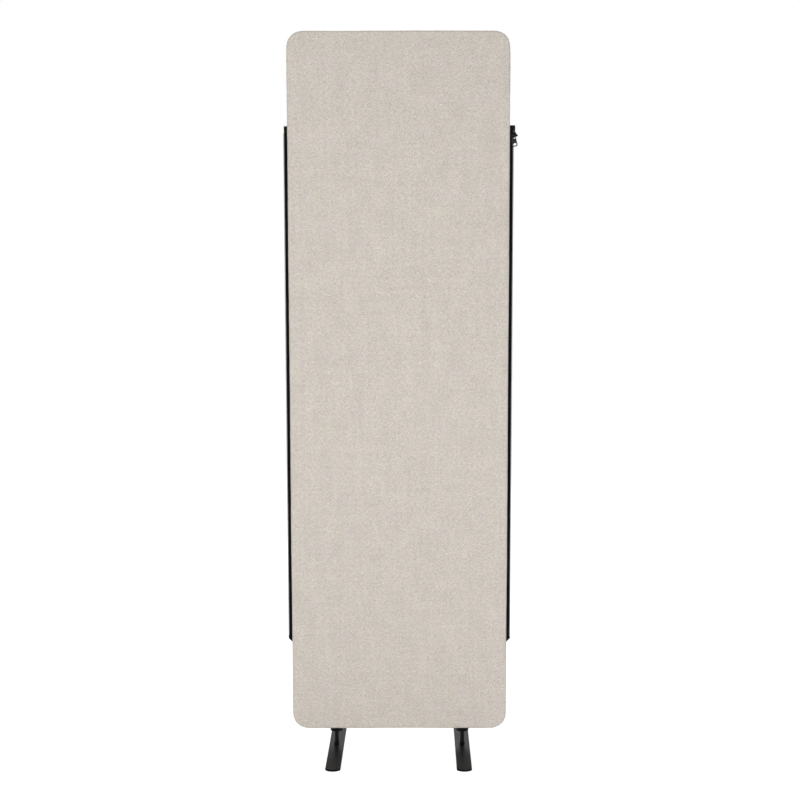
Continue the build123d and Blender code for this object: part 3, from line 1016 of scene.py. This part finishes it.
def stitch_row(side, face):
    """Topstitching that holds the cover's seam to the tape, on one side of it."""
    stitch_pitch = 4.2 * MM
    half_length = 1.6 * MM
    radius = 0.27 * MM
    end_sink = 0.28 * MM
    least_girth = 0.05
    around = 8
    stations = 7
    out = panel_half - 0.02 * MM
    from_seam = 3.4 * MM
    end_gap = 3 * MM
    first_z = zip_top - end_gap
    sections = []
    for station in range(stations):
        share = 2 * station / (stations - 1) - 1
        girth = radius * math.sqrt(max(least_girth, 1 - share**4))
        sink = end_sink * share**4
        section = []
        for index in range(around):
            angle = math.tau * index / around
            x = side * (out - sink + girth * math.cos(angle))
            y = face * from_seam + girth * math.sin(angle)
            section.append((x, y, first_z + share * half_length))
        sections.append(section)
    vertices, faces = loft(sections)
    face_word = "front" if face < 0 else "back"
    name = f"seam_stitches_{side_names[side]}_{face_word}"
    piece = mesh_piece(name, vertices, faces, sewing_thread, "panel")
    add_run(piece, int((zip_top - zip_bottom - 2 * end_gap) / stitch_pitch), stitch_pitch)


for side in side_names:
    woven_tape(side)
    moulded_teeth(side)
    for face in (-1, 1):
        stitch_row(side, face)


# Finishes and softened edges of the parts that stay as they are


def finish_node(name, material, soften=0.0):
    """Gives a carried-over part its finish, and rounds its moulded or cast edges."""
    part = nodes[name]
    part.data.materials.clear()
    part.data.materials.append(material)
    if soften:
        add_modifier(part, "WELD", merge_threshold=0.002 * MM)
        add_modifier(
            part,
            "BEVEL",
            width=soften,
            segments=3,
            limit_method="ANGLE",
            angle_limit=math.radians(35),
            use_clamp_overlap=True,
        )
        add_modifier(part, "WEIGHTED_NORMAL", keep_sharp=True)


for name in ("core_lower", "core_middle", "core_upper"):
    finish_node(name, core_felt)
for name in ("frame_top_bow", "frame_bottom_bow", "cross_rail_lower", "cross_rail_upper"):
    finish_node(name, frame_coat)
finish_node("splice_rivets", rivet_metal)
finish_node("insertion_pin", zip_plastic, soften=0.25 * MM)
finish_node("retainer_pin", zip_plastic)
finish_node("retainer_box", zip_plastic, soften=0.25 * MM)
finish_node("slider_body", slider_enamel)
finish_node("slider_bail", slider_enamel, soften=0.3 * MM)
finish_node("pull_tab", pull_enamel, soften=0.35 * MM)
for side_name in side_names.values():
    finish_node(f"frame_splice_{side_name}", frame_coat)
    finish_node(f"zip_film_{side_name}", zip_film)
    finish_node(f"zip_stop_{side_name}", zip_plastic, soften=0.3 * MM)
    finish_node(f"foot_socket_{side_name}", socket_coat)
    finish_node(f"foot_post_{side_name}", post_coat)
    finish_node(f"foot_plate_{side_name}", foot_coat)
    finish_node(f"foot_screw_{side_name}", screw_oxide)
    finish_node(f"foot_pads_{side_name}", pad_rubber)


# Studio: white floor and backdrop, soft lamps, and the camera

floor_half = 9.0
floor_grey = 0.80
floor_glow = 0.66
even_light = 0.47

# The photograph is 800 pixels square, and the focal length and the shift are in pixels too
picture_width = 800
focal_length = 1360.2
picture_shift = -17.7
camera_place = (0.0437, -3.1571, 1.1859)
camera_dip = math.radians(6.345)


def ray_share(tree):
    """1 for what the camera sees, straight or in a glossy or clear surface, and 0 for lighting."""
    path = put(tree, "ShaderNodeLightPath").outputs
    share = path["Is Camera Ray"]
    for label in ("Is Glossy Ray", "Is Transmission Ray"):
        share = math_node(tree, "MAXIMUM", share, path[label])
    return share


def studio_floor():
    """Pale floor that looks white and keeps the soft shadow of the feet."""
    corners = [(-1, -1), (1, -1), (1, 1), (-1, 1)]
    vertices = [(x * floor_half, y * floor_half, 0.0) for x, y in corners]
    mesh = bpy.data.meshes.new("studio_floor")
    mesh.from_pydata(vertices, [], [(0, 1, 2, 3)])
    floor = bpy.data.objects.new("studio_floor", mesh)
    bpy.context.scene.collection.objects.link(floor)
    material, tree, shader = new_material("StudioFloor", Roughness=0.9, Specular_IOR_Level=0.0)
    shader.inputs["Base Color"].default_value = grey(floor_grey)
    strength = math_node(tree, "MULTIPLY", ray_share(tree), floor_glow)
    glow = put(tree, "ShaderNodeEmission", {"Color": grey(1.0), "Strength": strength})
    both = put(tree, "ShaderNodeAddShader", {0: shader.outputs[0], 1: glow.outputs[0]})
    tree.links.new(both.outputs[0], tree.nodes["Material Output"].inputs["Surface"])
    mesh.materials.append(material)


def studio_world():
    """White to the eye and in gloss, and a plain even light on the object."""
    world = bpy.data.worlds.new("Studio")
    bpy.context.scene.world = world
    world.use_nodes = True
    tree = world.node_tree
    background = tree.nodes["Background"]
    background.inputs["Color"].default_value = grey(1.0)
    strength = math_node(tree, "MULTIPLY_ADD", ray_share(tree), 1.0 - even_light, even_light)
    tree.links.new(strength, background.inputs["Strength"])


def softbox(name, place, target, width, height, watts):
    """Large soft lamp turned to a target."""
    light = bpy.data.lights.new(name, "AREA")
    light.shape = "RECTANGLE"
    light.size = width
    light.size_y = height
    light.energy = watts
    lamp = bpy.data.objects.new(name, light)
    bpy.context.scene.collection.objects.link(lamp)
    turn = (Vector(target) - Vector(place)).to_track_quat("-Z", "Y").to_matrix().to_4x4()
    lamp.matrix_world = Matrix.Translation(place) @ turn


def studio_camera():
    """Camera at the photograph's viewing angle: a little above the middle, looking slightly down."""
    data = bpy.data.cameras.new("Camera")
    data.lens = focal_length / picture_width * data.sensor_width
    data.shift_x = picture_shift / picture_width
    camera = bpy.data.objects.new("Camera", data)
    bpy.context.scene.collection.objects.link(camera)
    camera.location = camera_place
    camera.rotation_euler = (math.radians(90) - camera_dip, 0, 0)
    bpy.context.scene.camera = camera


studio_floor()
studio_world()
middle = (0, 0, 0.9)
feet = (0, 0, 0.1)
softbox("key_lamp", (-1.7, -2.7, 1.7), middle, width=1.6, height=2.4, watts=40)
softbox("fill_lamp", (2.2, -2.4, 0.35), middle, width=1.6, height=2.2, watts=34)
softbox("low_lamp", (0.2, -2.6, 0.3), feet, width=2.0, height=0.5, watts=15)
softbox("back_lamp", (0.6, 2.6, 2.6), middle, width=2.0, height=1.6, watts=40)
studio_camera()
bpy.context.scene.view_settings.view_transform = "Standard"
